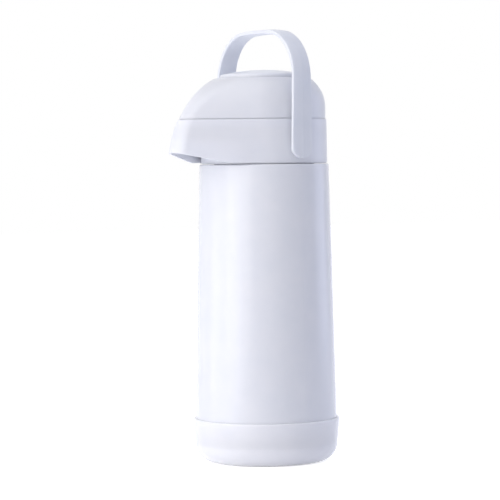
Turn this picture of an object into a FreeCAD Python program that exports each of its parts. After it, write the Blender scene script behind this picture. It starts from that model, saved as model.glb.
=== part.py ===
"""A one litre pump pot: a glass lined vacuum flask whose screwed head pumps air to push the drink out.

The flask stands on z = 0 with its axis on Z. The spout points along -Y and the handle's pivots lie on X.
"""

import math
import os
from enum import IntEnum

import FreeCAD
import Part
import Sketcher

doc = FreeCAD.newDocument("pump_pot")
sheet = doc.addObject("Spreadsheet::Sheet", "Sheet")

# Driving dimensions, in millimetres except for counts and angles
DIMENSIONS = {
    # outer jacket
    "jacket_base_radius": 61.0,
    "jacket_top_radius": 55.9,
    "jacket_wall": 2.2,
    "shoulder_height": 257.0,
    "shoulder_rounding": 1.2,
    "neck_radius": 43.2,
    "neck_height": 13.0,
    "neck_wall": 2.6,
    "neck_lip_thickness": 2.4,
    "thread_depth": 1.3,
    # base cap
    "cap_height": 38.0,
    "cap_overhang": 2.2,
    "cap_draft": 1.8,
    "cap_corner_radius": 16.0,
    "cap_wall": 2.6,
    "cap_rim_rounding": 1.7,
    "cap_rim_land": 4.5,
    "foot_recess": 2.0,
    "foot_ring_width": 8.0,
    "skirt_floor_gap": 2.0,
    "screw_clearance": 0.4,
    # glass liner and what holds it
    "liner_clearance": 4.7,
    "liner_corner_radius": 30.0,
    "liner_shoulder_radius": 14.0,
    "glass_wall": 1.6,
    "vacuum_gap": 3.2,
    "neck_gap": 1.2,
    "mouth_radius": 25.0,
    "mouth_seal_thickness": 2.0,
    "mouth_seal_width": 5.0,
    "tip_off_radius": 4.0,
    "tip_off_length": 7.0,
    "cushion_height": 14.0,
    "cushion_inset": 15.0,
    "cushion_hole_radius": 13.0,
    "cushion_wall": 3.5,
    "cushion_rib_height": 6.0,
    # pump head shell
    "head_seam_gap": 1.4,
    "collar_inset": 1.1,
    "collar_draft": 0.4,
    "collar_height": 36.8,
    "dome_step": 0.8,
    "dome_seam_gap": 0.6,
    "dome_seam_depth": 0.9,
    "dome_height": 35.4,
    "dome_shoulder_radius": 31.0,
    "dome_land": 3.0,
    "head_wall": 2.0,
    "beak_projection": 39.6,
    "beak_crown_projection": 3.6,
    "beak_sweep": 67.8,
    "beak_tip_radius": 15.0,
    "beak_crown_taper": 5.4,
    "beak_rim_rise": 9.0,
    "beak_root_gap": 0.1,
    "band_inset": 0.4,
    "register_height": 3.2,
    "register_wall": 1.5,
    "register_clearance": 0.2,
    "web_thickness": 2.4,
    "sleeve_wall": 2.0,
    # pump base and what is on it
    "plug_clearance": 1.6,
    "plug_wall": 2.0,
    "plug_depth": 10.0,
    "flange_thickness": 3.0,
    "flange_clearance": 4.9,
    "stopper_seal_thickness": 2.0,
    "stopper_seal_width": 7.0,
    "tower_radius": 17.0,
    "tower_wall": 2.0,
    "air_hole_radius": 2.2,
    "air_hole_circle": 12.5,
    "air_hole_count": 8,
    "seat_margin": 5.0,
    "seat_thickness": 2.0,
    "screw_edge": 3.8,
    "screw_count": 3,
    "screw_radius": 1.5,
    "screw_head_radius": 2.8,
    "screw_head_height": 1.8,
    "screw_length": 11.0,
    "boss_wall": 2.0,
    # drink path
    "tube_radius": 4.0,
    "tube_wall": 1.0,
    "tube_floor_gap": 4.0,
    "tube_grip": 10.0,
    "cage_wall": 1.5,
    "cage_flange_width": 2.0,
    "cage_flange_thickness": 2.0,
    "ball_margin": 0.3,
    "ball_seat_margin": 0.8,
    "ball_seat_thickness": 2.0,
    "ball_lift": 3.0,
    "pipe_radius": 4.5,
    "pipe_wall": 1.6,
    "pipe_bend_radius": 8.0,
    "pipe_clearance": 0.6,
    "pipe_fit": 0.1,
    "nozzle_setback": 15.4,
    "nozzle_hole_clearance": 1.2,
    "nozzle_wall": 1.6,
    "nozzle_length": 7.0,
    "nozzle_flange_width": 2.0,
    "nozzle_flange_thickness": 1.6,
    # push button, bellows and spring
    "button_radius": 37.1,
    "button_rise": 7.6,
    "button_crown": 3.8,
    "button_rounding": 2.4,
    "button_wall": 1.8,
    "button_travel": 18.0,
    "button_clearance": 0.5,
    "button_lip": 1.7,
    "button_lip_height": 2.5,
    "guide_overlap": 2.4,
    "well_wall": 1.8,
    "well_rounding": 0.8,
    "bellows_clearance": 2.9,
    "bellows_fold": 6.0,
    "bellows_wall": 2.0,
    "bellows_folds": 6,
    "bead_thickness": 1.4,
    "bead_width": 6.0,
    "clamp_wall": 1.6,
    "plate_thickness": 2.0,
    "plate_hub_radius": 9.0,
    "plate_spigot_radius": 3.0,
    "flap_margin": 2.6,
    "flap_thickness": 0.8,
    "inlet_hole_radius": 1.5,
    "inlet_hole_count": 6,
    "spring_clearance": 3.9,
    "spring_wire_radius": 0.9,
    "spring_turns": 4,
    # carrying handle
    "handle_width": 20.8,
    "handle_taper": 2.1,
    "handle_edge_thickness": 3.0,
    "handle_ridge": 0.8,
    "handle_rounding": 0.9,
    "handle_finger_room": 30.6,
    "handle_camber": 0.5,
    "handle_corner_radius": 42.0,
    "handle_foot_drop": 7.7,
    "pivot_rise": 11.1,
    "pivot_radius": 3.2,
    "pivot_running_clearance": 0.06,
    "pivot_head_rim": 0.6,
    "pivot_head_length": 2.6,
    "pivot_slot_width": 1.6,
    "pivot_boss_radius": 7.0,
    "pivot_boss_proud": 1.0,
    "side_clearance": 0.4,
}

for row, (alias, value) in enumerate(DIMENSIONS.items(), 1):
    sheet.set(f"A{row}", alias.replace("_", " "))
    sheet.set(f"B{row}", str(value))
    sheet.setAlias(f"B{row}", alias)
doc.recompute()


class Size:
    """A size with its value now and the expression over the sheet's cells that gives it."""

    def __init__(self, value, expression):
        self.value = float(value)
        self.expression = expression

    def __add__(self, other):
        other = as_size(other)
        return Size(self.value + other.value, f"({self.expression} + {other.expression})")

    def __sub__(self, other):
        other = as_size(other)
        return Size(self.value - other.value, f"({self.expression} - {other.expression})")

    def __mul__(self, other):
        other = as_size(other)
        return Size(self.value * other.value, f"({self.expression} * {other.expression})")

    def __truediv__(self, other):
        other = as_size(other)
        return Size(self.value / other.value, f"({self.expression} / {other.expression})")

    def __neg__(self):
        return Size(-self.value, f"(0 - {self.expression})")


def as_size(value):
    return value if isinstance(value, Size) else Size(value, repr(float(value)))


def root(size):
    return Size(math.sqrt(size.value), f"sqrt({size.expression})")


def leg(long_side, other_leg):
    """The remaining leg of a right triangle."""
    return root(long_side * long_side - other_leg * other_leg)


def positive(size):
    """The size, or nothing where it is negative."""
    return Size(max(0.0, size.value), f"max(0; {size.expression})")


def sine(degrees):
    return Size(math.sin(math.radians(degrees.value)), f"sin({degrees.expression})")


def smaller(one, other):
    return Size(min(one.value, other.value), f"min({one.expression}; {other.expression})")


def larger(one, other):
    return Size(max(one.value, other.value), f"max({one.expression}; {other.expression})")


class Sizes:
    """The sheet's cells as sizes, by alias."""

    def __getattr__(self, alias):
        return Size(DIMENSIONS[alias], f"Sheet.{alias}")


d = Sizes()
ZERO = as_size(0)
ONE = as_size(1)
NEAR_ZERO = 1e-9
SAME_PLACE = 1e-4

# Sketches and features


def new_body(label):
    body = doc.addObject("PartDesign::Body", label)
    body.Label = label
    return body


def origin_feature(body, role):
    for feature in body.Origin.OriginFeatures:
        if feature.Role == role:
            return feature
    raise ValueError(role)


def new_sketch(body, name, plane, offset=None):
    """An empty sketch on one of the body's origin planes, moved along that plane's normal by offset."""
    sketch = body.newObject("Sketcher::SketchObject", name)
    sketch.AttachmentSupport = (origin_feature(body, plane), [""])
    sketch.MapMode = "FlatFace"
    if offset is not None:
        sketch.AttachmentOffset = FreeCAD.Placement(FreeCAD.Vector(0, 0, offset.value), FreeCAD.Rotation())
        sketch.setExpression("AttachmentOffset.Base.z", offset.expression)
    return sketch


def bind(sketch, kind, *places_and_size):
    """Adds a constraint whose last item is a Size and ties it to the sheet."""
    *places, size = places_and_size
    index = sketch.addConstraint(Sketcher.Constraint(kind, *places, size.value))
    sketch.setExpression(f"Constraints[{index}]", size.expression)


class Axis(IntEnum):
    """The axes of a sketch."""

    HORIZONTAL = -1
    VERTICAL = -2


class Point(IntEnum):
    """The points of a sketch's line or arc."""

    START = 1
    END = 2
    CENTRE = 3


ORIGIN = (Axis.HORIZONTAL, Point.START)


def arc_between(start, end, radius, turn):
    """A circular arc between two points that turns left (+1) or right (-1) on its way."""
    chord = end - start
    middle = (start + end) * 0.5
    side = FreeCAD.Vector(-chord.y, chord.x, 0).normalize() * turn
    height = math.sqrt(max(0.0, radius**2 - (chord.Length / 2) ** 2))
    centre = middle + side * height
    circle = Part.Circle(centre, FreeCAD.Vector(0, 0, 1), radius)
    first, last = (start, end) if turn > 0 else (end, start)
    return Part.ArcOfCircle(circle, circle.parameter(first), circle.parameter(last))


def draw_outline(sketch, corners):
    """Draws a closed outline. A corner is (x, y), or (x, y, radius, turn) where an arc leads to it."""
    points = [FreeCAD.Vector(corner[0].value, corner[1].value, 0) for corner in corners]
    starts, ends = {}, {}
    for index, corner in enumerate(corners):
        before = points[index - 1]
        here = points[index]
        if len(corner) == 2:
            edge = sketch.addGeometry(Part.LineSegment(before, here), False)
            starts[index - 1], ends[index] = (edge, Point.START), (edge, Point.END)
            continue
        radius, turn = corner[2], corner[3]
        edge = sketch.addGeometry(arc_between(before, here, radius.value, turn), False)
        first, last = (Point.START, Point.END) if turn > 0 else (Point.END, Point.START)
        starts[index - 1], ends[index] = (edge, first), (edge, last)
        bind(sketch, "Radius", edge, radius)
    starts[len(corners) - 1] = starts.pop(-1)
    for index, corner in enumerate(corners):
        sketch.addConstraint(Sketcher.Constraint("Coincident", *ends[index], *starts[index]))
        if abs(corner[0].value) < NEAR_ZERO:
            sketch.addConstraint(Sketcher.Constraint("PointOnObject", *starts[index], Axis.VERTICAL))
        else:
            bind(sketch, "DistanceX", *ORIGIN, *starts[index], corner[0])
        bind(sketch, "DistanceY", *ORIGIN, *starts[index], corner[1])
    return sketch


def draw_circle(sketch, x, y, radius):
    circle = Part.Circle(FreeCAD.Vector(x.value, y.value, 0), FreeCAD.Vector(0, 0, 1), radius.value)
    edge = sketch.addGeometry(circle, False)
    bind(sketch, "Radius", edge, radius)
    bind(sketch, "DistanceX", *ORIGIN, edge, Point.CENTRE, x)
    bind(sketch, "DistanceY", *ORIGIN, edge, Point.CENTRE, y)
    return sketch


def revolve(body, name, corners, feature="PartDesign::Revolution"):
    """Turns an outline of (radius, height) corners about Z."""
    sketch = draw_outline(new_sketch(body, f"{name}_profile", "XZ_Plane"), corners)
    turned = body.newObject(feature, name)
    turned.Profile = sketch
    turned.ReferenceAxis = (sketch, ["V_Axis"])
    turned.Angle = 360
    doc.recompute()
    return turned


def extrude(body, sketch, name, length, cut=False, symmetric=False, reverse=False):
    before = body.Shape.Volume if cut else 0
    feature = body.newObject("PartDesign::Pocket" if cut else "PartDesign::Pad", name)
    feature.Profile = sketch
    feature.Length = length.value
    feature.setExpression("Length", length.expression)
    feature.SideType = "Symmetric" if symmetric else "One side"
    feature.Reversed = reverse
    doc.recompute()
    if cut and feature.Shape.Volume > before - NEAR_ZERO:
        raise RuntimeError(f"{name} cuts nothing")
    return feature


def around(body, name, originals, count):
    """Repeats features evenly round the body's Z axis."""
    pattern = body.newObject("PartDesign::PolarPattern", name)
    pattern.Originals = originals
    pattern.Axis = (origin_feature(body, "Z_Axis"), [""])
    pattern.Angle = 360
    pattern.Occurrences = int(count.value)
    pattern.setExpression("Occurrences", count.expression)
    body.Tip = pattern
    doc.recompute()
    return pattern


def mirror(body, name, originals):
    """Repeats features on the other side of the plane x = 0."""
    mirrored = body.newObject("PartDesign::Mirrored", name)
    mirrored.Originals = originals
    mirrored.MirrorPlane = (origin_feature(body, "YZ_Plane"), [""])
    body.Tip = mirrored
    doc.recompute()
    return mirrored


def round_edges(body, name, edges, rounding):
    """Fillets the named edges of the body as it is so far."""
    tip = body.Tip
    fillet = body.newObject("PartDesign::Fillet", name)
    fillet.Base = (tip, edges)
    fillet.Radius = rounding.value
    fillet.setExpression("Radius", rounding.expression)
    doc.recompute()


def round_rings(body, name, rings, rounding):
    """Fillets the circular edges that lie at the given (radius, height) pairs."""
    names = []
    for index, edge in enumerate(body.Tip.Shape.Edges, 1):
        if not isinstance(edge.Curve, Part.Circle):
            continue
        here = edge.Curve.Center
        for radius, height in rings:
            near = abs(edge.Curve.Radius - radius.value) + abs(here.z - height.value)
            if near + math.hypot(here.x, here.y) < SAME_PLACE:
                names.append(f"Edge{index}")
    round_edges(body, name, names, rounding)


# Radii, from the jacket inwards and from the button outwards
liner_radius = d.jacket_top_radius - d.jacket_wall - d.liner_clearance
cushion_radius = liner_radius - d.cushion_inset
collar_base_radius = d.jacket_top_radius - d.collar_inset
collar_top_radius = collar_base_radius - d.collar_draft
sleeve_bore = d.neck_radius + d.thread_depth + d.screw_clearance
sleeve_radius = sleeve_bore + d.sleeve_wall
flange_radius = sleeve_bore - d.flange_clearance
screw_circle = flange_radius - d.screw_edge
boss_radius = d.screw_radius + d.boss_wall
tower_bore = d.tower_radius - d.tower_wall
well_radius = d.button_radius + d.button_clearance
dome_top_radius = well_radius + d.dome_land + d.dome_step
beak_reach = collar_base_radius + d.beak_projection
nozzle_reach = beak_reach - d.nozzle_setback
bellows_radius = d.button_radius - d.button_wall - d.bellows_clearance
bellows_valley = bellows_radius - d.bellows_fold
seat_radius = bellows_valley + d.seat_margin
spring_radius = bellows_valley - d.bellows_wall - d.spring_clearance
flap_radius = spring_radius - d.spring_wire_radius - d.flap_margin
pivot_face = collar_base_radius + d.pivot_boss_proud
handle_inside = pivot_face + d.side_clearance
handle_thickness = d.handle_edge_thickness + d.handle_ridge

# Heights up the pot, each seated on the one below it
cap_floor = d.foot_recess + d.cap_wall
cushion_top = cap_floor + d.cushion_height
neck_top = d.shoulder_height + d.neck_height
lip_bottom = neck_top - d.neck_lip_thickness
liner_top = lip_bottom - d.mouth_seal_thickness
collar_bottom = d.shoulder_height + d.head_seam_gap
collar_top = collar_bottom + d.collar_height
dome_top = collar_top + d.dome_height
flange_bottom = neck_top + d.stopper_seal_thickness
web_bottom = flange_bottom + d.flange_thickness
web_top = web_bottom + d.web_thickness
pipe_axis = web_bottom + larger(d.pipe_bend_radius, d.web_thickness + d.pipe_clearance + d.pipe_radius)
tower_top = pipe_axis + d.pipe_radius + d.pipe_clearance
seat_top = tower_top + d.seat_thickness
bead_top = seat_top + d.bead_thickness
clamp_top = bead_top + d.clamp_wall
crown_top = dome_top + d.button_rise
crown_edge = crown_top - d.button_crown
ceiling_edge = crown_edge - d.button_rounding
well_bottom = ceiling_edge - d.button_travel - d.guide_overlap
lip_top = well_bottom - d.side_clearance
button_bottom = lip_top - d.button_lip_height
top_bead_top = ceiling_edge - d.button_wall
plate_top = top_bead_top - d.bead_thickness
plate_bottom = plate_top - d.plate_thickness
pivot_height = collar_bottom + d.pivot_rise
handle_foot = pivot_height - d.handle_foot_drop
handle_crown = crown_top + d.handle_finger_room + handle_thickness
handle_spring = handle_crown - d.handle_corner_radius - d.handle_camber


# Outer jacket: one tapered moulding, open below, with a shoulder, a screw neck and an inward lip


def outer_jacket():
    skirt = d.jacket_base_radius - d.cap_wall + d.cap_overhang - d.screw_clearance
    skirt_bottom = d.cap_corner_radius + d.skirt_floor_gap
    mouth = d.mouth_radius + d.plug_wall / 2
    bore = d.neck_radius - d.neck_wall
    body = new_body("outer_jacket")
    revolve(
        body,
        "jacket_wall_turn",
        [
            (skirt, skirt_bottom),
            (skirt, d.cap_height),
            (d.jacket_base_radius, d.cap_height),
            (d.jacket_top_radius, d.shoulder_height),
            (d.neck_radius, d.shoulder_height),
            (d.neck_radius, neck_top),
            (mouth, neck_top),
            (mouth, lip_bottom),
            (bore, lip_bottom),
            (bore, d.shoulder_height - d.jacket_wall),
            (d.jacket_top_radius - d.jacket_wall, d.shoulder_height - d.jacket_wall),
            (d.jacket_base_radius - d.jacket_wall, d.cap_height + d.jacket_wall),
            (skirt - d.jacket_wall, d.cap_height),
            (skirt - d.jacket_wall, skirt_bottom),
        ],
    )
    round_rings(body, "shoulder_edge", [(d.jacket_top_radius, d.shoulder_height)], d.shoulder_rounding)


# Base cap: a screwed cup with a rounded foot, a proud rim and a rib that holds the cushion


def base_cap():
    rim = d.jacket_base_radius + d.cap_overhang
    side = rim - d.cap_draft
    bore = rim - d.cap_wall
    corner = d.cap_corner_radius
    inner_corner = corner - cap_floor
    foot = side - corner
    rib = cushion_radius + d.screw_clearance
    rib_top = cap_floor + d.cushion_rib_height
    bore_foot = side - d.cap_wall
    body = new_body("base_cap")
    revolve(
        body,
        "cap_turn",
        [
            (ZERO, d.foot_recess),
            (foot - d.foot_ring_width, d.foot_recess),
            (foot - d.foot_ring_width, ZERO),
            (foot, ZERO),
            (side, corner, corner, 1),
            (rim, d.cap_height - d.cap_rim_land),
            (rim, d.cap_height),
            (bore, d.cap_height),
            (bore, corner + d.skirt_floor_gap - d.screw_clearance),
            (bore_foot, corner),
            (bore_foot - inner_corner, cap_floor, inner_corner, -1),
            (rib + d.cap_wall, cap_floor),
            (rib + d.cap_wall, rib_top),
            (rib, rib_top),
            (rib, cap_floor),
            (ZERO, cap_floor),
        ],
    )
    round_rings(body, "cap_rim_edge", [(rim, d.cap_height)], d.cap_rim_rounding)


# Liner cushion: a rubber ring that the glass liner stands in


def liner_cushion():
    flat = liner_radius - d.liner_corner_radius
    reach = cushion_radius - flat
    lip = cushion_top + d.liner_corner_radius - leg(d.liner_corner_radius, reach)
    roof = cushion_top - d.cushion_wall
    body = new_body("liner_cushion")
    revolve(
        body,
        "cushion_turn",
        [
            (d.cushion_hole_radius, cap_floor),
            (d.cushion_hole_radius + d.cushion_wall, cap_floor),
            (d.cushion_hole_radius + d.cushion_wall, roof),
            (cushion_radius - d.cushion_wall, roof),
            (cushion_radius - d.cushion_wall, cap_floor),
            (cushion_radius, cap_floor),
            (cushion_radius, lip),
            (flat, cushion_top, d.liner_corner_radius, -1),
            (d.cushion_hole_radius, cushion_top),
        ],
    )


# Glass liner: two blown bottles, one in the other, joined at the lip with a vacuum between


def bottle_outline(radius, corner, shoulder, neck, bottom, top):
    """One side of a bottle from its middle to its mouth, as outline corners."""
    hollow = radius - shoulder - neck
    turn_height = top - hollow - d.neck_height
    return [
        (ZERO, bottom),
        (radius - corner, bottom),
        (radius, bottom + corner, corner, 1),
        (radius, turn_height - shoulder),
        (radius - shoulder, turn_height, shoulder, 1),
        (neck, turn_height + hollow, hollow, -1),
        (neck, top),
    ]


def inward(corners):
    """The same side walked from mouth to middle, so that arcs turn the other way."""
    walked = []
    for index in range(len(corners) - 1, -1, -1):
        after = corners[index + 1] if index + 1 < len(corners) else None
        if after is not None and len(after) == 4:
            walked.append((*corners[index][:2], after[2], -after[3]))
        else:
            walked.append(corners[index][:2])
    return walked


lip_width = d.glass_wall * 2 + d.neck_gap
lip_under = liner_top - d.glass_wall


def liner_outer_glass():
    wall = d.glass_wall
    neck = d.mouth_radius + lip_width
    outside = bottle_outline(
        liner_radius, d.liner_corner_radius, d.liner_shoulder_radius, neck, cushion_top, lip_under
    )
    inside = bottle_outline(
        liner_radius - wall,
        d.liner_corner_radius - wall,
        d.liner_shoulder_radius - wall,
        neck - wall,
        cushion_top + wall,
        lip_under,
    )
    nipple = [
        (ZERO, cushion_top - d.tip_off_length),
        (d.tip_off_radius / 4, cushion_top - d.tip_off_length),
        (d.tip_off_radius, cushion_top),
    ]
    body = new_body("liner_outer_glass")
    revolve(body, "outer_bottle_turn", nipple + outside[1:] + inward(inside))


def liner_inner_glass():
    wall = d.glass_wall
    gap = wall + d.vacuum_gap
    neck = d.mouth_radius + wall
    bottom = cushion_top + gap
    outside = bottle_outline(
        liner_radius - gap,
        d.liner_corner_radius - gap,
        d.liner_shoulder_radius - gap,
        neck,
        bottom,
        lip_under,
    )
    inside = bottle_outline(
        liner_radius - gap - wall,
        d.liner_corner_radius - gap - wall,
        d.liner_shoulder_radius - gap - wall,
        d.mouth_radius,
        bottom + wall,
        lip_under,
    )
    fused_lip = [
        (d.mouth_radius + lip_width, lip_under),
        (d.mouth_radius + lip_width, liner_top),
        (d.mouth_radius, liner_top),
    ]
    body = new_body("liner_inner_glass")
    revolve(body, "inner_bottle_turn", outside + fused_lip + inward(inside)[1:])


def ring(label, inner, outer, bottom, top):
    body = new_body(label)
    revolve(body, f"{label}_turn", [(inner, bottom), (outer, bottom), (outer, top), (inner, top)])


def liner_mouth_seal():
    inner = d.mouth_radius + d.plug_wall / 2
    ring("liner_mouth_seal", inner, inner + d.mouth_seal_width, liner_top, lip_bottom)


# The head's master surface: a round collar drawn out to a beak, closed over by a dome


def head_section(height, inset):
    """The round radius, the beak tip's radius and the tip's distance at a height of the head."""
    shoulder = d.dome_shoulder_radius
    arc_run = leg(shoulder, dome_top_radius - collar_top_radius + shoulder)
    above_arc = positive(height - (dome_top - arc_run))
    draft = d.collar_draft / d.collar_height
    straight = collar_top_radius + draft * positive(collar_top - height)
    round_radius = straight - shoulder + leg(shoulder, above_arc)
    rise = positive(height - collar_top) / d.dome_height
    crown_radius = dome_top_radius - d.beak_crown_taper
    tip_radius = d.beak_tip_radius + (crown_radius - d.beak_tip_radius) * rise * rise
    crown_reach = dome_top_radius + d.beak_crown_projection
    climb = (height - d.shoulder_height) / (dome_top - d.shoulder_height)
    bow = leg(ONE, sine(d.beak_sweep) * climb)
    last_bow = leg(ONE, sine(d.beak_sweep))
    reach = crown_reach + (beak_reach - crown_reach) * (bow - last_bow) / (ONE - last_bow)
    return round_radius - inset, tip_radius - inset, reach - tip_radius


def draw_drop(sketch, round_radius, tip_radius, tip_distance):
    """A drop outline: a round back and a round tip towards -Y, joined by two tangents."""
    lean = math.asin((round_radius.value - tip_radius.value) / tip_distance.value)
    up = FreeCAD.Vector(0, 0, 1)
    tip = FreeCAD.Vector(0, -tip_distance.value, 0)
    back_circle = Part.Circle(FreeCAD.Vector(), up, round_radius.value)
    tip_circle = Part.Circle(tip, up, tip_radius.value)
    back_arc = Part.ArcOfCircle(back_circle, -lean, math.pi + lean)
    tip_arc = Part.ArcOfCircle(tip_circle, math.pi + lean, 2 * math.pi - lean)
    left = Part.LineSegment(back_arc.EndPoint, tip_arc.StartPoint)
    right = Part.LineSegment(tip_arc.EndPoint, back_arc.StartPoint)
    back, left, front, right = sketch.addGeometry([back_arc, left, tip_arc, right], False)
    sketch.addConstraint(Sketcher.Constraint("Coincident", back, Point.CENTRE, *ORIGIN))
    sketch.addConstraint(Sketcher.Constraint("PointOnObject", front, Point.CENTRE, Axis.VERTICAL))
    for before, after in ((back, left), (left, front), (front, right), (right, back)):
        sketch.addConstraint(Sketcher.Constraint("Tangent", before, Point.END, after, Point.START))
    bind(sketch, "Radius", back, round_radius)
    bind(sketch, "Radius", front, tip_radius)
    bind(sketch, "DistanceY", front, Point.CENTRE, *ORIGIN, tip_distance)
    return sketch


def head_loft(body, name, heights, inset, cut=False):
    """Lofts the head's sections at some heights, set in from the master surface."""
    sketches = []
    for index, height in enumerate(heights):
        sketch = new_sketch(body, f"{name}_section_{index}", "XY_Plane", height)
        sketches.append(draw_drop(sketch, *head_section(height, inset)))
    loft = body.newObject("PartDesign::SubtractiveLoft" if cut else "PartDesign::AdditiveLoft", name)
    loft.Profile = sketches[-1]
    loft.Sections = sketches[-2::-1]
    loft.Ruled = False
    doc.recompute()
    return loft


def between(low, high, shares):
    return [low + (high - low) * share for share in shares]


COLLAR_SHARES = (0, 0.5, 1)
DOME_SHARES = (0, 0.25, 0.5, 0.72, 0.88, 1)


# Spout housing: the head's lower half with the beak's hood, the screw sleeve and the floor


def spout_housing():
    body = new_body("spout_housing")
    head_loft(body, "housing_outside", between(collar_bottom, collar_top, COLLAR_SHARES), ZERO)
    rim_root = collar_base_radius + d.beak_root_gap
    far = beak_reach * 2 - rim_root
    hood = new_sketch(body, "hood_rim_profile", "YZ_Plane")
    draw_outline(
        hood,
        [
            (-rim_root, collar_bottom),
            (-far, collar_bottom + d.beak_rim_rise * 2),
            (-far, collar_bottom - d.beak_rim_rise),
            (-rim_root, collar_bottom - d.beak_rim_rise),
        ],
    )
    extrude(body, hood, "hood_rim", collar_base_radius * 2, cut=True, symmetric=True)
    head_loft(body, "upper_hollow", between(web_top, collar_top, COLLAR_SHARES), d.head_wall, cut=True)
    below = collar_bottom - d.head_seam_gap
    head_loft(body, "lower_hollow", between(below, web_bottom, COLLAR_SHARES), d.head_wall, cut=True)
    band = collar_base_radius - d.band_inset
    revolve(
        body,
        "round_band",
        [
            (band - d.head_wall, collar_bottom),
            (band, collar_bottom),
            (band, web_top),
            (band - d.head_wall, web_top),
        ],
    )
    sleeve_bottom = collar_bottom + d.head_seam_gap
    revolve(
        body,
        "screw_sleeve",
        [
            (sleeve_bore, sleeve_bottom),
            (sleeve_radius, sleeve_bottom),
            (sleeve_radius, web_top),
            (sleeve_bore, web_top),
        ],
    )
    register(body)
    web_hole = new_sketch(body, "web_hole_profile", "XY_Plane", web_bottom)
    draw_circle(web_hole, ZERO, ZERO, screw_circle - boss_radius - d.screw_clearance)
    extrude(body, web_hole, "web_hole", d.web_thickness, cut=True, reverse=True)
    screw_bosses(body)
    nozzle_hole = new_sketch(body, "nozzle_hole_profile", "XY_Plane", web_bottom)
    draw_circle(nozzle_hole, ZERO, -nozzle_reach, d.pipe_radius + d.nozzle_hole_clearance)
    extrude(body, nozzle_hole, "nozzle_hole", d.web_thickness, cut=True, reverse=True)
    pivot_sockets(body)


def register(body):
    """The upstanding lip inside the collar's rim that the dome is pushed over."""
    outside = d.dome_step + d.head_wall + d.register_clearance
    inside = outside + d.register_wall
    root_heights = between(collar_top - d.register_height * 2, collar_top, (0, 1))
    lip_heights = between(collar_top, collar_top + d.register_height, (0, 1))
    both = between(root_heights[0], lip_heights[1], COLLAR_SHARES)
    head_loft(body, "register_root", root_heights, d.head_wall / 2)
    head_loft(body, "register_lip", lip_heights, outside)
    head_loft(body, "register_inside", both, inside, cut=True)


def screw_bosses(body):
    """Bosses on the floor, over the screws that hold the pump base up against it."""
    height = d.screw_length - d.web_thickness
    start = new_sketch(body, "boss_profile", "XY_Plane", web_top - d.web_thickness / 2)
    draw_circle(start, ZERO, screw_circle, boss_radius)
    boss = extrude(body, start, "boss", height)
    start = new_sketch(body, "pilot_profile", "XY_Plane", web_bottom)
    draw_circle(start, ZERO, screw_circle, d.screw_radius)
    pilot = extrude(body, start, "pilot", d.screw_length - d.flange_thickness, cut=True, reverse=True)
    around(body, "bosses", [boss, pilot], d.screw_count)


def pivot_sockets(body):
    """A boss with a bore on each flank for the handle's stubs."""
    inner = collar_top_radius - d.head_wall * 1.5
    start = new_sketch(body, "pivot_boss_profile", "YZ_Plane", inner)
    draw_circle(start, ZERO, pivot_height, d.pivot_boss_radius)
    boss = extrude(body, start, "pivot_boss", pivot_face - inner)
    start = new_sketch(body, "pivot_bore_profile", "YZ_Plane", inner)
    draw_circle(start, ZERO, pivot_height, d.pivot_radius + d.pivot_running_clearance)
    bore = extrude(body, start, "pivot_bore", pivot_face - inner, cut=True, reverse=True)
    mirror(body, "pivot_pair", [boss, bore])


# Dome cover: the head's upper half with the well that the button slides in


def dome_cover():
    body = new_body("dome_cover")
    edge = collar_top + d.dome_seam_gap
    head_loft(body, "dome_outside", between(edge, dome_top, DOME_SHARES), d.dome_step)
    foot_heights = (collar_top, edge + d.dome_seam_gap)
    head_loft(body, "dome_foot", foot_heights, d.dome_step + d.dome_seam_depth)
    inset = d.dome_step + d.head_wall
    hollow_top = dome_top - d.head_wall
    head_loft(body, "dome_hollow", between(collar_top, hollow_top, DOME_SHARES), inset, cut=True)
    revolve(
        body,
        "well_wall",
        [
            (well_radius, well_bottom),
            (well_radius + d.well_wall, well_bottom),
            (well_radius + d.well_wall, dome_top),
            (well_radius, dome_top),
        ],
    )
    opening = new_sketch(body, "well_profile", "XY_Plane", dome_top)
    draw_circle(opening, ZERO, ZERO, well_radius)
    extrude(body, opening, "well", dome_top - well_bottom, cut=True)
    round_rings(body, "well_edge", [(well_radius, dome_top)], d.well_rounding)


# Pump base: the stopper, the air tower and the seat of the bellows in one moulding


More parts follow.
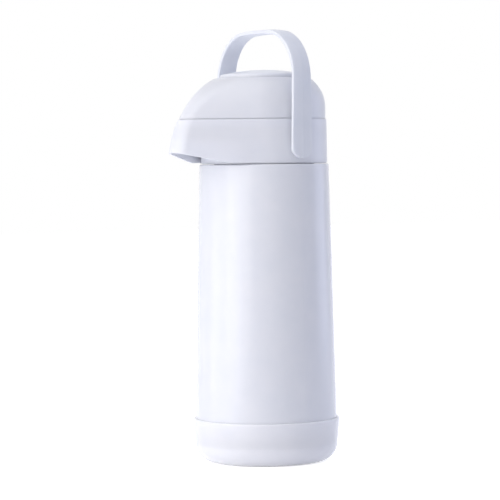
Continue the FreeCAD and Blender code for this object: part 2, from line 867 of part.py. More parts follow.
def pump_base():
    plug = d.mouth_radius - d.plug_clearance
    plug_bottom = flange_bottom - d.plug_depth
    cage = d.pipe_radius + d.cage_wall
    body = new_body("pump_base")
    revolve(
        body,
        "pump_base_turn",
        [
            (cage, plug_bottom),
            (plug, plug_bottom),
            (plug, flange_bottom),
            (flange_radius, flange_bottom),
            (flange_radius, web_bottom),
            (d.tower_radius, web_bottom),
            (d.tower_radius, tower_top),
            (seat_radius, tower_top),
            (seat_radius, seat_top),
            (tower_bore, seat_top),
            (tower_bore, flange_bottom),
            (plug - d.plug_wall, flange_bottom),
            (plug - d.plug_wall, plug_bottom + d.plug_wall),
            (cage, plug_bottom + d.plug_wall),
        ],
    )
    air = new_sketch(body, "air_hole_profile", "XY_Plane", plug_bottom)
    draw_circle(air, ZERO, d.air_hole_circle, d.air_hole_radius)
    hole = extrude(body, air, "air_hole", d.plug_wall, cut=True, reverse=True)
    around(body, "air_holes", [hole], d.air_hole_count)
    shank = new_sketch(body, "shank_profile", "XY_Plane", flange_bottom)
    draw_circle(shank, ZERO, screw_circle, d.screw_radius)
    hole = extrude(body, shank, "shank_hole", d.flange_thickness, cut=True, reverse=True)
    head = new_sketch(body, "screw_head_profile", "XY_Plane", flange_bottom)
    draw_circle(head, ZERO, screw_circle, d.screw_head_radius)
    recess = extrude(body, head, "screw_recess", d.screw_head_height, cut=True, reverse=True)
    around(body, "screw_holes", [hole, recess], d.screw_count)
    exit_hole = new_sketch(body, "pipe_exit_profile", "XZ_Plane")
    draw_circle(exit_hole, ZERO, pipe_axis, d.pipe_radius + d.pipe_fit)
    extrude(body, exit_hole, "pipe_exit", d.tower_radius * 2, cut=True, reverse=True)


def stopper_seal():
    inner = d.mouth_radius + d.plug_wall
    ring("stopper_seal", inner, inner + d.stopper_seal_width, neck_top, flange_bottom)


def housing_screws():
    """The screws that hold the pump base, as one group of separate solids."""
    body = new_body("housing_screws")
    body.AllowCompound = True
    start = new_sketch(body, "screw_head_round", "XY_Plane", flange_bottom)
    draw_circle(start, ZERO, screw_circle, d.screw_head_radius)
    head = extrude(body, start, "screw_head", d.screw_head_height)
    start = new_sketch(body, "screw_shank_round", "XY_Plane", flange_bottom)
    draw_circle(start, ZERO, screw_circle, d.screw_radius)
    shank = extrude(body, start, "screw_shank", d.screw_length)
    around(body, "screws", [head, shank], d.screw_count)


# Drink path: dip tube, valve cage with its ball, delivery pipe and nozzle

plug_floor = flange_bottom - d.plug_depth
ball_seat = plug_floor
cage_bottom = ball_seat - d.ball_seat_thickness - d.tube_grip
cage_bore = d.pipe_radius
pipe_bore = d.pipe_radius - d.pipe_wall
ball_radius = pipe_bore + d.ball_margin
ball_seat_radius = ball_radius - d.ball_seat_margin
ball_centre = ball_seat + leg(ball_radius + d.side_clearance / 4, ball_seat_radius)
pipe_bottom = ball_centre + d.ball_lift + leg(ball_radius + d.side_clearance / 2, pipe_bore)
nozzle_bottom = web_bottom - d.nozzle_length


def valve_cage():
    outside = cage_bore + d.cage_wall
    cage_top = pipe_bottom + d.pipe_radius
    flange = outside + d.cage_flange_width
    flange_under = plug_floor - d.cage_flange_thickness
    body = new_body("valve_cage")
    revolve(
        body,
        "cage_turn",
        [
            (d.tube_radius, cage_bottom),
            (outside, cage_bottom),
            (outside, flange_under),
            (flange, flange_under),
            (flange, plug_floor),
            (outside, plug_floor),
            (outside, cage_top),
            (cage_bore, cage_top),
            (cage_bore, ball_seat),
            (ball_seat_radius, ball_seat),
            (ball_seat_radius, ball_seat - d.ball_seat_thickness),
            (d.tube_radius, ball_seat - d.ball_seat_thickness),
        ],
    )


def check_ball():
    ball = doc.addObject("Part::Sphere", "check_ball")
    ball.Label = "check_ball"
    ball.setExpression("Radius", ball_radius.expression)
    ball.setExpression("Placement.Base.z", ball_centre.expression)
    doc.recompute()


def dip_tube():
    top = ball_seat - d.ball_seat_thickness
    bottom = cushion_top + d.glass_wall * 2 + d.vacuum_gap + d.tube_floor_gap
    bore = d.tube_radius - d.tube_wall
    body = new_body("dip_tube")
    revolve(body, "tube_turn", [(bore, bottom), (d.tube_radius, bottom), (d.tube_radius, top), (bore, top)])
    mitre = new_sketch(body, "tube_mitre_profile", "YZ_Plane")
    side = d.tube_radius * 2
    draw_outline(mitre, [(-d.tube_radius, bottom), (side, bottom), (side, bottom + side + d.tube_radius)])
    extrude(body, mitre, "tube_mitre", side * 2, cut=True, symmetric=True)


def sweep_round(body, name, path, radius, start, cut=False):
    """Sweeps a circle that starts level at a height on the Z axis along a path sketch."""
    section = new_sketch(body, f"{name}_section", "XY_Plane", start)
    draw_circle(section, ZERO, ZERO, radius)
    pipe = body.newObject("PartDesign::SubtractivePipe" if cut else "PartDesign::AdditivePipe", name)
    pipe.Profile = section
    pipe.Spine = path
    doc.recompute()
    return pipe


def delivery_pipe():
    """Up from the valve, forward over the floor and down into the nozzle, in one bent tube."""
    bend = d.pipe_bend_radius
    low = pipe_axis - bend
    body = new_body("delivery_pipe")
    path = new_sketch(body, "pipe_path", "YZ_Plane")
    corners = [
        (ZERO, pipe_bottom),
        (ZERO, low),
        (-bend, pipe_axis, bend, 1),
        (bend - nozzle_reach, pipe_axis),
        (-nozzle_reach, low, bend, 1),
        (-nozzle_reach, web_bottom - d.pipe_radius),
    ]
    draw_path(path, corners)
    sweep_round(body, "pipe_outside", path, d.pipe_radius, pipe_bottom)
    sweep_round(body, "pipe_bore", path, pipe_bore, pipe_bottom, cut=True)


def draw_path(sketch, corners):
    """Draws an open path of lines and arcs, with corners as draw_outline takes them."""
    points = [FreeCAD.Vector(corner[0].value, corner[1].value, 0) for corner in corners]
    last_end = None
    for index in range(1, len(corners)):
        corner = corners[index]
        if len(corner) == 2:
            edge = sketch.addGeometry(Part.LineSegment(points[index - 1], points[index]), False)
            first, last = (edge, Point.START), (edge, Point.END)
        else:
            arc = arc_between(points[index - 1], points[index], corner[2].value, corner[3])
            edge = sketch.addGeometry(arc, False)
            ends = ((edge, Point.START), (edge, Point.END))
            first, last = ends if corner[3] > 0 else ends[::-1]
            bind(sketch, "Radius", edge, corner[2])
        if last_end is None:
            place_point(sketch, first, corners[0])
        else:
            sketch.addConstraint(Sketcher.Constraint("Coincident", *last_end, *first))
        place_point(sketch, last, corner)
        last_end = last
    return sketch


def place_point(sketch, point, corner):
    if abs(corner[0].value) < NEAR_ZERO:
        sketch.addConstraint(Sketcher.Constraint("PointOnObject", *point, Axis.VERTICAL))
    else:
        bind(sketch, "DistanceX", *ORIGIN, *point, corner[0])
    bind(sketch, "DistanceY", *ORIGIN, *point, corner[1])


def spout_nozzle():
    """The push-on tip under the beak's floor. It is turned about Z and then stands at the beak's end."""
    outside = d.pipe_radius + d.nozzle_wall
    flange = outside + d.nozzle_flange_width
    socket_bottom = web_bottom - d.pipe_radius
    flange_under = web_bottom - d.nozzle_flange_thickness
    body = new_body("spout_nozzle")
    revolve(
        body,
        "nozzle_turn",
        [
            (pipe_bore, nozzle_bottom),
            (pipe_bore + d.nozzle_wall, nozzle_bottom),
            (outside, socket_bottom),
            (outside, flange_under),
            (flange, flange_under),
            (flange, web_bottom),
            (d.pipe_radius, web_bottom),
            (d.pipe_radius, socket_bottom),
            (pipe_bore, socket_bottom),
        ],
    )
    body.setExpression("Placement.Base.y", (-nozzle_reach).expression)


# Bellows, the ring that clamps it and the spring inside


def bellows():
    """A blown accordion between two flat beads, its wall set in along the radius."""
    skin = d.bellows_wall
    valley = bellows_valley
    low = clamp_top + d.side_clearance
    pitch = (plate_bottom - low) / d.bellows_folds
    outside = [(valley, bead_top), (valley, low)]
    inside = [(valley - skin, seat_top), (valley - skin, low)]
    for fold in range(int(d.bellows_folds.value)):
        peak = low + pitch * (fold + 0.5)
        end = low + pitch * (fold + 1)
        outside += [(bellows_radius, peak), (valley, end)]
        inside += [(bellows_radius - skin, peak), (valley - skin, end)]
    bead_outer = smaller(seat_radius, valley + d.bead_width)
    bead_inner = valley - d.bead_width
    lower_bead = [(bead_outer, seat_top), (bead_outer, bead_top)]
    upper_bead = [(valley, top_bead_top), (bead_inner, top_bead_top), (bead_inner, plate_top)]
    closing = [(valley - skin, plate_top)] + inside[::-1]
    body = new_body("bellows")
    revolve(body, "bellows_turn", lower_bead + outside + upper_bead + closing)


def bellows_clamp():
    """A snap ring over the seat's edge that presses the lower bead down."""
    inner = bellows_valley + d.side_clearance
    outer = seat_radius + d.clamp_wall
    body = new_body("bellows_clamp")
    revolve(
        body,
        "clamp_turn",
        [
            (seat_radius, tower_top),
            (outer, tower_top),
            (outer, clamp_top),
            (inner, clamp_top),
            (inner, bead_top),
            (seat_radius, bead_top),
        ],
    )


def return_spring():
    """Round wire wound between the seat and the spring plate."""
    wire = d.spring_wire_radius
    first = seat_top + wire
    body = new_body("return_spring")
    section = new_sketch(body, "wire_profile", "XZ_Plane")
    draw_circle(section, spring_radius, first, wire)
    coil = body.newObject("PartDesign::AdditiveHelix", "coil")
    coil.Profile = section
    coil.ReferenceAxis = (section, ["V_Axis"])
    coil.Mode = "height-turns-angle"
    rise = plate_bottom - wire - first
    coil.Height = rise.value
    coil.setExpression("Height", rise.expression)
    coil.Turns = d.spring_turns.value
    coil.setExpression("Turns", d.spring_turns.expression)
    doc.recompute()


# Push button with the plate and the flap that ride under it


def push_button():
    edge = d.button_radius - d.button_rounding
    crown = (edge * edge + d.button_crown * d.button_crown) / (d.button_crown * 2)
    inner = d.button_radius - d.button_wall
    lip = d.button_radius + d.button_lip
    boss_outer = bellows_valley
    boss_inner = bellows_valley - d.bead_width
    hub = d.plate_spigot_radius + d.button_wall
    ceiling = ceiling_edge
    body = new_body("push_button")
    revolve(
        body,
        "button_turn",
        [
            (d.plate_spigot_radius, top_bead_top),
            (hub, top_bead_top),
            (hub, ceiling),
            (boss_inner, ceiling),
            (boss_inner, top_bead_top),
            (boss_outer, top_bead_top),
            (boss_outer, ceiling),
            (inner, ceiling),
            (inner, button_bottom),
            (lip, button_bottom),
            (lip, lip_top),
            (d.button_radius, lip_top),
            (d.button_radius, ceiling_edge),
            (edge, crown_edge, d.button_rounding, 1),
            (ZERO, crown_top, crown, 1),
            (ZERO, ceiling),
            (d.plate_spigot_radius, ceiling),
        ],
    )


def spring_plate():
    """Holds the bellows' upper bead against the button, takes the spring and carries the inlet flap."""
    hub = d.plate_hub_radius
    hub_bottom = plate_bottom - d.flap_thickness * 3
    hub_lip = hub + d.flap_thickness
    body = new_body("spring_plate")
    revolve(
        body,
        "plate_turn",
        [
            (ZERO, hub_bottom),
            (hub_lip, hub_bottom),
            (hub_lip, plate_bottom - d.flap_thickness * 1.5),
            (hub, plate_bottom - d.flap_thickness * 1.5),
            (hub, plate_bottom),
            (bellows_valley - d.bellows_wall - d.side_clearance, plate_bottom),
            (bellows_valley - d.bellows_wall - d.side_clearance, plate_top),
            (d.plate_spigot_radius, plate_top),
            (d.plate_spigot_radius, ceiling_edge),
            (ZERO, ceiling_edge),
        ],
    )
    inlet = new_sketch(body, "inlet_profile", "XY_Plane", plate_bottom)
    draw_circle(inlet, ZERO, (hub + flap_radius) / 2, d.inlet_hole_radius)
    hole = extrude(body, inlet, "inlet_hole", d.plate_thickness, cut=True, reverse=True)
    around(body, "inlet_holes", [hole], d.inlet_hole_count)


def air_inlet_flap():
    ring("air_inlet_flap", d.plate_hub_radius, flap_radius, plate_bottom - d.flap_thickness, plate_bottom)


# Carrying handle: a ridged strap bent over the head, with split snap stubs in the collar's flanks


def carry_handle():
    thickness = handle_thickness
    inner = handle_inside
    body = new_body("carry_handle")
    path = new_sketch(body, "handle_path", "XZ_Plane")
    corner = d.handle_corner_radius - thickness
    centre = inner - corner
    camber = d.handle_camber
    drop = (centre * centre - camber * camber) / (camber * 2)
    top = drop + camber + corner
    hypotenuse = top - corner
    across = centre * top / hypotenuse
    along = handle_spring - drop + drop * top / hypotenuse
    draw_path(
        path,
        [
            (inner, handle_foot),
            (inner, handle_spring),
            (across, along, corner, 1),
            (-across, along, top, 1),
            (-inner, handle_spring, corner, 1),
            (-inner, handle_foot),
        ],
    )
    half = d.handle_width / 2
    outer = inner + d.handle_edge_thickness
    strap = new_sketch(body, "strap_profile", "XY_Plane", handle_foot)
    draw_outline(
        strap,
        [
            (inner, -half),
            (outer, -half),
            (inner + thickness, ZERO),
            (outer, half),
            (inner, half),
        ],
    )
    pipe = body.newObject("PartDesign::AdditivePipe", "strap")
    pipe.Profile = strap
    pipe.Spine = path
    doc.recompute()
    strap_taper(body, half)
    foot_rounding(body, half)
    pivot_stubs(body, inner)


def strap_taper(body, half):
    """Narrows the strap evenly from its feet to the crown and rounds its long edges."""
    far = half * 2
    taper = new_sketch(body, "taper_profile", "YZ_Plane")
    for side in (ONE, -ONE):
        draw_outline(
            taper,
            [
                (side * half, handle_foot),
                (side * (half - d.handle_taper), handle_crown),
                (side * far, handle_crown),
                (side * far, handle_foot),
            ],
        )
    extrude(body, taper, "taper", (handle_inside + handle_thickness) * 4, cut=True, symmetric=True)
    slope = d.handle_taper.value / (handle_crown - handle_foot).value

    def on_side(point):
        above_foot = point.z - handle_foot.value
        return abs(abs(point.y) - half.value + slope * above_foot) < SAME_PLACE

    def at_foot(edge):
        return all(vertex.Point.z - handle_foot.value < SAME_PLACE for vertex in edge.Vertexes)

    long_edges = []
    for index, edge in enumerate(body.Tip.Shape.Edges, 1):
        places = [vertex.Point for vertex in edge.Vertexes]
        places.append(edge.valueAt((edge.FirstParameter + edge.LastParameter) / 2))
        if all(on_side(place) for place in places) and not at_foot(edge):
            long_edges.append(f"Edge{index}")
    round_edges(body, "strap_edges", long_edges, d.handle_rounding)


def foot_rounding(body, half):
    """Cuts both feet of the strap to a half round."""
    centre = handle_foot + half
    far = half * 2
    foot = new_sketch(body, "foot_profile", "YZ_Plane")
    draw_outline(
        foot,
        [
            (-half, centre),
            (ZERO, handle_foot, half, 1),
            (half, centre, half, 1),
            (far, centre),
            (far, centre - far),
            (-far, centre - far),
            (-far, centre),
        ],
    )
    extrude(body, foot, "foot_round", (handle_inside + handle_thickness) * 4, cut=True, symmetric=True)


def pivot_stubs(body, inner):
    """Split stubs with a snap head behind the collar's wall."""
    wall_inside = collar_top_radius - d.head_wall * 1.5 - d.side_clearance
    stub_end = wall_inside - d.pivot_head_length
    start = new_sketch(body, "stub_profile", "YZ_Plane", stub_end)
    draw_circle(start, ZERO, pivot_height, d.pivot_radius)
    stub = extrude(body, start, "stub", inner + d.handle_rounding - stub_end)
    start = new_sketch(body, "stub_head_profile", "YZ_Plane", stub_end)
    draw_circle(start, ZERO, pivot_height, d.pivot_radius + d.pivot_head_rim)
    head = extrude(body, start, "stub_head", d.pivot_head_length)
    start = new_sketch(body, "stub_slot_profile", "YZ_Plane", stub_end)
    half = d.pivot_slot_width / 2
    reach = d.pivot_radius * 2
    draw_outline(
        start,
        [
            (-half, pivot_height - reach),
            (half, pivot_height - reach),
            (half, pivot_height + reach),
            (-half, pivot_height + reach),
        ],
    )
    slot = extrude(body, start, "stub_slot", d.pivot_head_length * 1.5, cut=True, reverse=True)
    mirror(body, "stub_pair", [stub, head, slot])


# Build every piece, check it and write it

PIECES = [
    outer_jacket,
    base_cap,
    liner_cushion,
    liner_outer_glass,
    liner_inner_glass,
    liner_mouth_seal,
    spout_housing,
    dome_cover,
    pump_base,
    stopper_seal,
    housing_screws,
    valve_cage,
    check_ball,
    dip_tube,
    delivery_pipe,
    spout_nozzle,
    bellows,
    bellows_clamp,
    return_spring,
    push_button,
    spring_plate,
    air_inlet_flap,
    carry_handle,
]
for piece in PIECES:
    piece()
doc.recompute()

for item in doc.Objects:
    if "Invalid" in item.State or "Error" in item.State:
        raise RuntimeError(f"{item.Name} failed: {item.State}")

os.makedirs("parts", exist_ok=True)
for piece in PIECES:
    label = piece.__name__
    shape = doc.getObjectsByLabel(label)[0].Shape
    if shape.isNull() or not shape.isValid():
        raise RuntimeError(f"{label} has no valid shape")
    shape.exportStep(f"parts/{label}.step")
    box = shape.BoundBox
    print(f"{label}: {len(shape.Solids)} solid, {shape.Volume:.0f} mm3, z {box.ZMin:.1f} to {box.ZMax:.1f}")
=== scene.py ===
import math

import bmesh
import bpy
from mathutils import Matrix, Vector


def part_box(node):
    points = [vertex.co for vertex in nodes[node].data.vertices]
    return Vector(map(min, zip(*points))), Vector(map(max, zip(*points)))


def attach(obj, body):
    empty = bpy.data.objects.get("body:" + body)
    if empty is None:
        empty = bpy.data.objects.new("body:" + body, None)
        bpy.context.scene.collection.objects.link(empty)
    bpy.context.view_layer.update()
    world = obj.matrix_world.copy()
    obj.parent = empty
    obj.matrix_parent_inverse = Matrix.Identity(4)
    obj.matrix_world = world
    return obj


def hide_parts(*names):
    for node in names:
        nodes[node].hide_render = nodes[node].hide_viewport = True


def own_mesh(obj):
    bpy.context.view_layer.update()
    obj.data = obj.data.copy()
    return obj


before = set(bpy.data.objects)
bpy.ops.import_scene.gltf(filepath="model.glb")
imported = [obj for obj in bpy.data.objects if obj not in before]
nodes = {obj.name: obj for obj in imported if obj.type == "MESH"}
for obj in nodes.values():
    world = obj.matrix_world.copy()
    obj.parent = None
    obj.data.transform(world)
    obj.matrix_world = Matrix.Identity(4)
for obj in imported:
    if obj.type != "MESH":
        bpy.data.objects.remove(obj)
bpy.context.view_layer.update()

# Base cap
# The screwed foot of the flask, injection moulded in white polypropylene. Its colour is drawn a little
# whiter than the jacket's: painted light for the floor's bounce onto the foot.
# Polished moulds leave a smooth skin with a faint orange peel, and the pigment clouds a little as it flows.

MM = 0.001


def linear(hex_colour):
    """An sRGB hex colour as linear RGBA."""
    channels = [int(hex_colour[i : i + 2], 16) / 255 for i in (1, 3, 5)]
    return [c / 12.92 if c <= 0.04045 else ((c + 0.055) / 1.055) ** 2.4 for c in channels] + [1.0]


def add_node(tree, kind, settings=(), inputs=(), links=()):
    """Adds a node, sets its properties and sockets, and links (input name, node, output name) into it."""
    node = tree.nodes.new(kind)
    for name, value in dict(settings).items():
        setattr(node, name, value)
    for name, value in dict(inputs).items():
        node.inputs[name].default_value = value
    for name, source, output in links:
        tree.links.new(source.outputs[output], node.inputs[name])
    return node


def bare_material(name):
    """A new material with only its output and a Principled shader."""
    material = bpy.data.materials.new(name)
    material.use_nodes = True
    tree = material.node_tree
    shader = tree.nodes["Principled BSDF"]
    return material, tree, shader


def mottle(tree, place, size_mm, detail, roughness=0.5):
    """Noise with features of about this size."""
    return add_node(
        tree,
        "ShaderNodeTexNoise",
        inputs={"Scale": 1 / (size_mm * MM), "Detail": detail, "Roughness": roughness},
        links=[("Vector", place, "Object")],
    )


def two_tone(tree, shader, noise, low_hex, high_hex, low_end=0.0, high_end=1.0):
    """A base colour that runs from one colour to the other over a stretch of the noise."""
    ramp = add_node(tree, "ShaderNodeValToRGB", links=[("Fac", noise, "Fac")])
    low, high = ramp.color_ramp.elements
    low.position = low_end
    low.color = linear(low_hex)
    high.position = high_end
    high.color = linear(high_hex)
    tree.links.new(ramp.outputs["Color"], shader.inputs["Base Color"])


def uneven_gloss(tree, shader, noise, dull_range, noise_range=(0.0, 1.0)):
    """Roughness that follows the noise."""
    sheen = add_node(
        tree,
        "ShaderNodeMapRange",
        inputs={
            "From Min": noise_range[0],
            "From Max": noise_range[1],
            "To Min": dull_range[0],
            "To Max": dull_range[1],
        },
        links=[("Value", noise, "Fac")],
    )
    tree.links.new(sheen.outputs["Result"], shader.inputs["Roughness"])


def relief(tree, shader, noise, depth_mm, strength=1.0):
    """Fine bumps of this depth."""
    bump = add_node(
        tree,
        "ShaderNodeBump",
        inputs={"Strength": strength, "Distance": depth_mm * MM},
        links=[("Height", noise, "Fac")],
    )
    tree.links.new(bump.outputs["Normal"], shader.inputs["Normal"])


def moulded_plastic(name, body_hex, cloud_hex, dullness, peel_mm, peel_depth_mm, cloud_mm=24):
    """Moulded plastic: clouded pigment that light enters a little, uneven gloss and a fine orange peel."""
    material, tree, shader = bare_material(name)
    place = add_node(tree, "ShaderNodeTexCoord")
    mid_noise = (0.3, 0.7)
    handling_share = 0.4
    glossiest = 0.9
    dullest = 1.15
    scatter_mm = 4
    cloud = mottle(tree, place, cloud_mm, detail=3.0, roughness=0.55)
    two_tone(tree, shader, cloud, cloud_hex, body_hex, *mid_noise)
    handled = mottle(tree, place, cloud_mm * handling_share, detail=4.0)
    uneven_gloss(tree, shader, handled, (dullness * glossiest, dullness * dullest), mid_noise)
    peel = mottle(tree, place, peel_mm, detail=2.0)
    relief(tree, shader, peel, peel_depth_mm)
    shader.inputs["IOR"].default_value = 1.49
    shader.inputs["Subsurface Weight"].default_value = 0.5
    shader.inputs["Subsurface Radius"].default_value = (1.0, 1.0, 1.0)
    shader.inputs["Subsurface Scale"].default_value = scatter_mm * MM
    return material


def finish_node(name, material):
    """Gives a CAD node its finish."""
    mesh = nodes[name].data
    mesh.materials.clear()
    mesh.materials.append(material)


# The cap's white is lighter than the jacket's as painted light, standing in for the bounce from the floor.
cap_white_with_painted_bounce = moulded_plastic(
    "white_polypropylene_with_painted_bounce", "#F4F4F8", "#F0F1F6", dullness=0.2, peel_mm=3.0, peel_depth_mm=0.004
)
finish_node("base_cap", cap_white_with_painted_bounce)

# Outer jacket
# The tapered wall of the flask, one tall white polypropylene moulding with the highest polish on the pot.
# Its neck carries a moulded thread of two turns that the head screws on to.

polished_white = moulded_plastic(
    "polished_white_polypropylene", "#EDEEF3", "#E9EBF1", dullness=0.2, peel_mm=3.0, peel_depth_mm=0.004
)
finish_node("outer_jacket", polished_white)

THREAD_PITCH = 4.0 * MM
THREAD_TURNS = 2.2
THREAD_ROOT_WIDTH = 2.4 * MM
THREAD_CREST_WIDTH = 0.9 * MM
THREAD_STEPS_PER_TURN = 72
NECK_RADIUS = 43.2 * MM
NECK_THREAD_HEIGHT = 1.1 * MM
NECK_THREAD_DROP = 11.2 * MM
NECK_THREAD_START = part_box("stopper_seal")[0][2] - NECK_THREAD_DROP
THREAD_SUNK = 0.15 * MM
RUN_OUT_TURN = 1 / 6


def placed_piece(name, mesh):
    """An object in the scene from a finished bmesh."""
    bmesh.ops.recalc_face_normals(mesh, faces=mesh.faces)
    data = bpy.data.meshes.new(name)
    mesh.to_mesh(data)
    mesh.free()
    piece = bpy.data.objects.new(name, data)
    bpy.context.collection.objects.link(piece)
    return piece


def thread_ridge(name, radius, height, start_z):
    """A helical ridge on a round wall. A negative height stands inwards. Its ends run out to nothing."""
    mesh = bmesh.new()
    steps = int(THREAD_TURNS * THREAD_STEPS_PER_TURN)
    run_out = THREAD_STEPS_PER_TURN * RUN_OUT_TURN
    sunk = -math.copysign(THREAD_SUNK, height)
    rings = []
    for step in range(steps + 1):
        turn = step / THREAD_STEPS_PER_TURN
        angle = 2 * math.pi * turn
        middle = start_z + turn * THREAD_PITCH
        grown = min(1.0, step / run_out, (steps - step) / run_out)
        crest = radius + height * grown
        profile = [
            (radius + sunk, -THREAD_ROOT_WIDTH / 2),
            (crest + sunk * (1 - grown), -THREAD_CREST_WIDTH / 2),
            (crest + sunk * (1 - grown), THREAD_CREST_WIDTH / 2),
            (radius + sunk, THREAD_ROOT_WIDTH / 2),
        ]
        direction = Vector((math.cos(angle), math.sin(angle), 0))
        rings.append([mesh.verts.new(direction * r + Vector((0, 0, middle + z))) for r, z in profile])
    for one, other in zip(rings, rings[1:]):
        for corner in range(len(one)):
            after = (corner + 1) % len(one)
            mesh.faces.new((one[corner], one[after], other[after], other[corner]))
    mesh.faces.new(rings[0])
    mesh.faces.new(rings[-1])
    return placed_piece(name, mesh)


neck_thread = thread_ridge("neck_thread", NECK_RADIUS, NECK_THREAD_HEIGHT, NECK_THREAD_START)
neck_thread.data.materials.append(polished_white)
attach(neck_thread, "flask")

# Glass liner
# Two blown glass bottles fused at the lip, silvered on the faces that look into the vacuum.
# Blown glass has slow waves in its wall, which bend what the silver shows.

silvered_glass, tree, shader = bare_material("silvered_blown_glass")
place = add_node(tree, "ShaderNodeTexCoord")
wave = mottle(tree, place, size_mm=30, detail=2.0)
two_tone(tree, shader, wave, "#D9DDE0", "#EEF0F0")
relief(tree, shader, wave, depth_mm=0.1)
shader.inputs["Metallic"].default_value = 1.0
shader.inputs["Roughness"].default_value = 0.06
for glass in ("liner_outer_glass", "liner_inner_glass"):
    finish_node(glass, silvered_glass)

# Liner cushion and seals
# The liner stands in a black rubber ring, and grey silicone rings close its mouth and the head's stopper.
# Both are pressed in a mould and come out dull, with a bloom of mould dust.


def pressed_rubber(name, body_hex, dust_hex, dullness):
    """Rubber with a bloom of mould dust and a fine grain."""
    material, tree, shader = bare_material(name)
    place = add_node(tree, "ShaderNodeTexCoord")
    dust = mottle(tree, place, size_mm=6, detail=6.0)
    two_tone(tree, shader, dust, body_hex, dust_hex, low_end=0.4, high_end=0.8)
    grain = mottle(tree, place, size_mm=0.8, detail=2.0)
    relief(tree, shader, grain, depth_mm=0.02, strength=0.6)
    shader.inputs["Roughness"].default_value = dullness
    shader.inputs["IOR"].default_value = 1.43
    return material


black_rubber = pressed_rubber("black_moulded_rubber", "#1D1D1F", "#333336", dullness=0.75)
grey_silicone = pressed_rubber("grey_pressed_silicone", "#B4B6B9", "#C3C5C8", dullness=0.55)
finish_node("liner_cushion", black_rubber)
for seal in ("liner_mouth_seal", "stopper_seal", "air_inlet_flap"):
    finish_node(seal, grey_silicone)

# Pump works
# Stopper, tower, valve cage, pipe and nozzle are natural polypropylene, and the dip tube is polyethylene.
# Without pigment both are milky, with a softer gloss than the polished shell.

natural_polypropylene = moulded_plastic(
    "natural_polypropylene",
    "#E4E5E4",
    "#DCDEDD",
    dullness=0.38,
    peel_mm=1.6,
    peel_depth_mm=0.01,
    cloud_mm=12,
)
milky_polyethylene = moulded_plastic(
    "milky_polyethylene",
    "#DDE2E4",
    "#D5DBDE",
    dullness=0.32,
    peel_mm=2.0,
    peel_depth_mm=0.01,
    cloud_mm=16,
)
for work in ("pump_base", "valve_cage", "delivery_pipe", "spout_nozzle", "bellows_clamp", "spring_plate"):
    finish_node(work, natural_polypropylene)
finish_node("dip_tube", milky_polyethylene)

# Steel pieces
# The return spring is drawn stainless wire, the ball is ground and the screws are rolled and zinc plated.
# All three have a fine uneven sheen, drawn coarser than it is so that it shows.

drawn_steel, tree, shader = bare_material("drawn_stainless_steel")
place = add_node(tree, "ShaderNodeTexCoord")
lines = mottle(tree, place, size_mm=0.7, detail=4.0)
two_tone(tree, shader, lines, "#A9ABAF", "#C9CBCE")
uneven_gloss(tree, shader, lines, dull_range=(0.29, 0.4))
shader.inputs["Metallic"].default_value = 1.0
for steel_piece in ("check_ball", "housing_screws"):
    finish_node(steel_piece, drawn_steel)

# Bellows and return spring
# The bellows is blown from soft polyethylene and folds flat as the button goes down, round a coiled spring.
# Each stands on the pump base, and is drawn as a copy of its node that rides with the pump head.

soft_polyethylene = moulded_plastic(
    "soft_blown_polyethylene",
    "#D6DADC",
    "#CED3D6",
    dullness=0.45,
    peel_mm=2.4,
    peel_depth_mm=0.012,
    cloud_mm=14,
)


def shortening_copy(node, name, material):
    """A copy of a node's shape in this material, carried with the pump head in place of the hidden node."""
    piece = bpy.data.objects.new(name, nodes[node].data.copy())
    bpy.context.collection.objects.link(piece)
    piece.data.materials.clear()
    piece.data.materials.append(material)
    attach(piece, "pump_head")
    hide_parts(node)
    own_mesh(piece)


shortening_copy("bellows", "bellows_skin", soft_polyethylene)
shortening_copy("return_spring", "spring_wire", drawn_steel)

# Head shell
# The lower half with the beak and the dome over it are two white polypropylene mouldings pushed together.
# Their moulds are polished less than the jacket's, so highlights spread a little wider.

satin_white = moulded_plastic(
    "satin_white_polypropylene", "#EBECF1", "#E7E9EF", dullness=0.32, peel_mm=2.2, peel_depth_mm=0.006
)
for shell in ("spout_housing", "dome_cover"):
    finish_node(shell, satin_white)

SLEEVE_BORE = 44.9 * MM
SLEEVE_THREAD_HEIGHT = -1.1 * MM
sleeve_thread = thread_ridge(
    "sleeve_thread", SLEEVE_BORE, SLEEVE_THREAD_HEIGHT, NECK_THREAD_START + THREAD_PITCH / 2
)
sleeve_thread.data.materials.append(satin_white)
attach(sleeve_thread, "pump_head")

COLLAR_EDGE_RADIUS = 54.4 * MM
COLLAR_EDGE_WALL = 2.0 * MM
COLLAR_EDGE_DROP = 0.7 * MM
DRIP_LIP_WALL = 1.0 * MM
DRIP_LIP_DROP = 1.1 * MM
EDGE_SUNK = 0.1 * MM
RING_STEPS = 240


def turned_ring(name, profile):
    """A ring turned about the flask's axis from a closed profile of (radius, height) points."""
    mesh = bmesh.new()
    rings = []
    for step in range(RING_STEPS):
        angle = 2 * math.pi * step / RING_STEPS
        direction = Vector((math.cos(angle), math.sin(angle), 0))
        rings.append([mesh.verts.new(direction * r + Vector((0, 0, z))) for r, z in profile])
    for one, other in zip(rings, rings[1:] + rings[:1]):
        for corner in range(len(profile)):
            after = (corner + 1) % len(profile)
            mesh.faces.new((one[corner], one[after], other[after], other[corner]))
    return placed_piece(name, mesh)


# The collar's lower edge closes half of the seam over the jacket. A lip inside it keeps drips out.
collar_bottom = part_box("spout_housing")[0][2]
lip_radius = COLLAR_EDGE_RADIUS - COLLAR_EDGE_WALL + DRIP_LIP_WALL
collar_edge = turned_ring(
    "collar_edge",
    [
        (COLLAR_EDGE_RADIUS, collar_bottom + EDGE_SUNK),
        (COLLAR_EDGE_RADIUS, collar_bottom - COLLAR_EDGE_DROP),
        (lip_radius, collar_bottom - COLLAR_EDGE_DROP),
        (lip_radius, collar_bottom - DRIP_LIP_DROP),
        (lip_radius - DRIP_LIP_WALL, collar_bottom - DRIP_LIP_DROP),
        (lip_radius - DRIP_LIP_WALL, collar_bottom + EDGE_SUNK),
    ],
)
collar_edge.data.materials.append(satin_white)
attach(collar_edge, "pump_head")

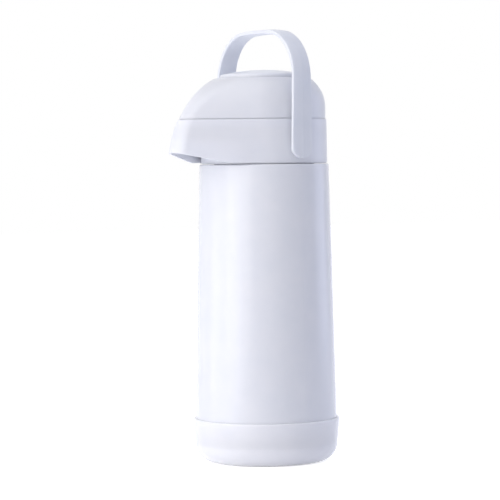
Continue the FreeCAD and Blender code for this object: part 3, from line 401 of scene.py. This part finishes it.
# Push button
# A thick crowned disc with a skirt that slides in the dome's well.
# It is moulded like the head, and has the same satin skin.

finish_node("push_button", satin_white)

# Carrying handle
# A strap with a low ridge down its back, bent in the mould and snapped into the collar by two split stubs.
# It is the same polypropylene, with the dullest skin because it is held most.

handled_white = moulded_plastic(
    "handled_white_polypropylene", "#E9EBF0", "#E4E7ED", dullness=0.34, peel_mm=1.8, peel_depth_mm=0.008
)
finish_node("carry_handle", handled_white)

# Studio
# A flat sheet of white paper under the pot, with a large soft box on the spout's side as the main lamp.
# The paper and the room are white to the eye, and light the pot as plain paper and a dim room.

VIEW_TURN = math.radians(56)
VIEW_DISTANCE = 2.0
VIEW_HEIGHT = 0.258
VIEW_ROLL = math.radians(-0.6)
FRAME_PIXELS = 500
FOCAL_PIXELS = 2310
SENSOR = 36.0
AIM_HEIGHT = 0.1827
AIM_LEFT = 0.0128
LAMP_AIM_HEIGHT = 0.19

towards_eye = Vector((math.sin(VIEW_TURN), -math.cos(VIEW_TURN), 0))
rightwards = Vector((math.cos(VIEW_TURN), math.sin(VIEW_TURN), 0))


def aim(thing, place, target, roll=0.0):
    """Puts a lamp or camera at a place and points it at a target."""
    facing = (target - place).to_track_quat("-Z", "Y").to_matrix().to_4x4()
    thing.matrix_world = Matrix.Translation(place) @ facing @ Matrix.Rotation(roll, 4, "Z")


def soft_box(name, angle, distance, height, width, tall, watts, colour):
    """A large area lamp, placed by its angle to the right of the line to the eye."""
    lamp = bpy.data.lights.new(name, "AREA")
    lamp.shape = "RECTANGLE"
    lamp.size = width
    lamp.size_y = tall
    lamp.energy = watts
    lamp.color = linear(colour)[:3]
    thing = bpy.data.objects.new(name, lamp)
    bpy.context.collection.objects.link(thing)
    turn = math.radians(angle)
    place = (towards_eye * math.cos(turn) + rightwards * math.sin(turn)) * distance
    aim(thing, place + Vector((0, 0, height)), Vector((0, 0, LAMP_AIM_HEIGHT)))


soft_box(
    "spout_side_box", angle=-46, distance=1.5, height=0.65, width=1.3, tall=1.5, watts=10.7, colour="#FFFAF1"
)
soft_box(
    "top_box", angle=-50, distance=0.55, height=1.7, width=1.2, tall=1.2, watts=5.6, colour="#FFFFFF"
)
soft_box(
    "handle_side_box", angle=113, distance=1.9, height=0.5, width=1.0, tall=1.6, watts=7.2, colour="#DCE3FF"
)
soft_box(
    "floor_card", angle=-70, distance=0.6, height=0.02, width=0.7, tall=0.5, watts=1.6, colour="#F0F4FF"
)


def seen_directly(tree):
    """One for rays from the camera, through glass or off gloss, and nothing for the light on the pot."""
    ray = add_node(tree, "ShaderNodeLightPath")
    through = add_node(
        tree,
        "ShaderNodeMath",
        settings={"operation": "MAXIMUM"},
        links=[(0, ray, "Is Camera Ray"), (1, ray, "Is Transmission Ray")],
    )
    return add_node(
        tree,
        "ShaderNodeMath",
        settings={"operation": "MAXIMUM"},
        links=[(0, through, "Value"), (1, ray, "Is Glossy Ray")],
    )


world = bpy.data.worlds.new("studio")
bpy.context.scene.world = world
world.use_nodes = True
tree = world.node_tree
tree.nodes.clear()
direct = seen_directly(tree)
room = add_node(tree, "ShaderNodeBackground", inputs={"Color": linear("#E4E8FB"), "Strength": 0.545})
paper = add_node(tree, "ShaderNodeBackground", inputs={"Color": linear("#FFFFFF"), "Strength": 1.0})
mixed = add_node(
    tree,
    "ShaderNodeMixShader",
    links=[(0, direct, "Value"), (1, room, "Background"), (2, paper, "Background")],
)
add_node(tree, "ShaderNodeOutputWorld", links=[("Surface", mixed, "Shader")])

FLOOR_HALF = 6.0
floor_data = bpy.data.meshes.new("paper_floor")
corners = [(-FLOOR_HALF, -FLOOR_HALF, 0), (FLOOR_HALF, -FLOOR_HALF, 0), (FLOOR_HALF, FLOOR_HALF, 0)]
floor_data.from_pydata(corners + [(-FLOOR_HALF, FLOOR_HALF, 0)], [], [(0, 1, 2, 3)])
floor = bpy.data.objects.new("paper_floor", floor_data)
bpy.context.collection.objects.link(floor)
white_paper, tree, shader = bare_material("white_sweep_paper")
tree.nodes.remove(shader)
direct = seen_directly(tree)
matt = add_node(tree, "ShaderNodeBsdfDiffuse", inputs={"Color": linear("#F2F2F3")})
glow = add_node(tree, "ShaderNodeEmission", inputs={"Color": linear("#FFFFFF"), "Strength": 0.7})
seen = add_node(tree, "ShaderNodeAddShader", links=[(0, matt, "BSDF"), (1, glow, "Emission")])
paper = add_node(
    tree,
    "ShaderNodeMixShader",
    links=[(0, direct, "Value"), (1, matt, "BSDF"), (2, seen, "Shader")],
)
output = tree.nodes["Material Output"]
tree.links.new(paper.outputs["Shader"], output.inputs["Surface"])
floor_data.materials.append(white_paper)

camera_data = bpy.data.cameras.new("eye")
camera_data.sensor_width = SENSOR
camera_data.lens = FOCAL_PIXELS / FRAME_PIXELS * SENSOR
camera_data.dof.use_dof = False
camera = bpy.data.objects.new("eye", camera_data)
bpy.context.collection.objects.link(camera)
eye = towards_eye * VIEW_DISTANCE + Vector((0, 0, VIEW_HEIGHT))
aim(camera, eye, Vector((0, 0, AIM_HEIGHT)) - rightwards * AIM_LEFT, VIEW_ROLL)
bpy.context.scene.camera = camera
bpy.context.scene.view_settings.view_transform = "Standard"
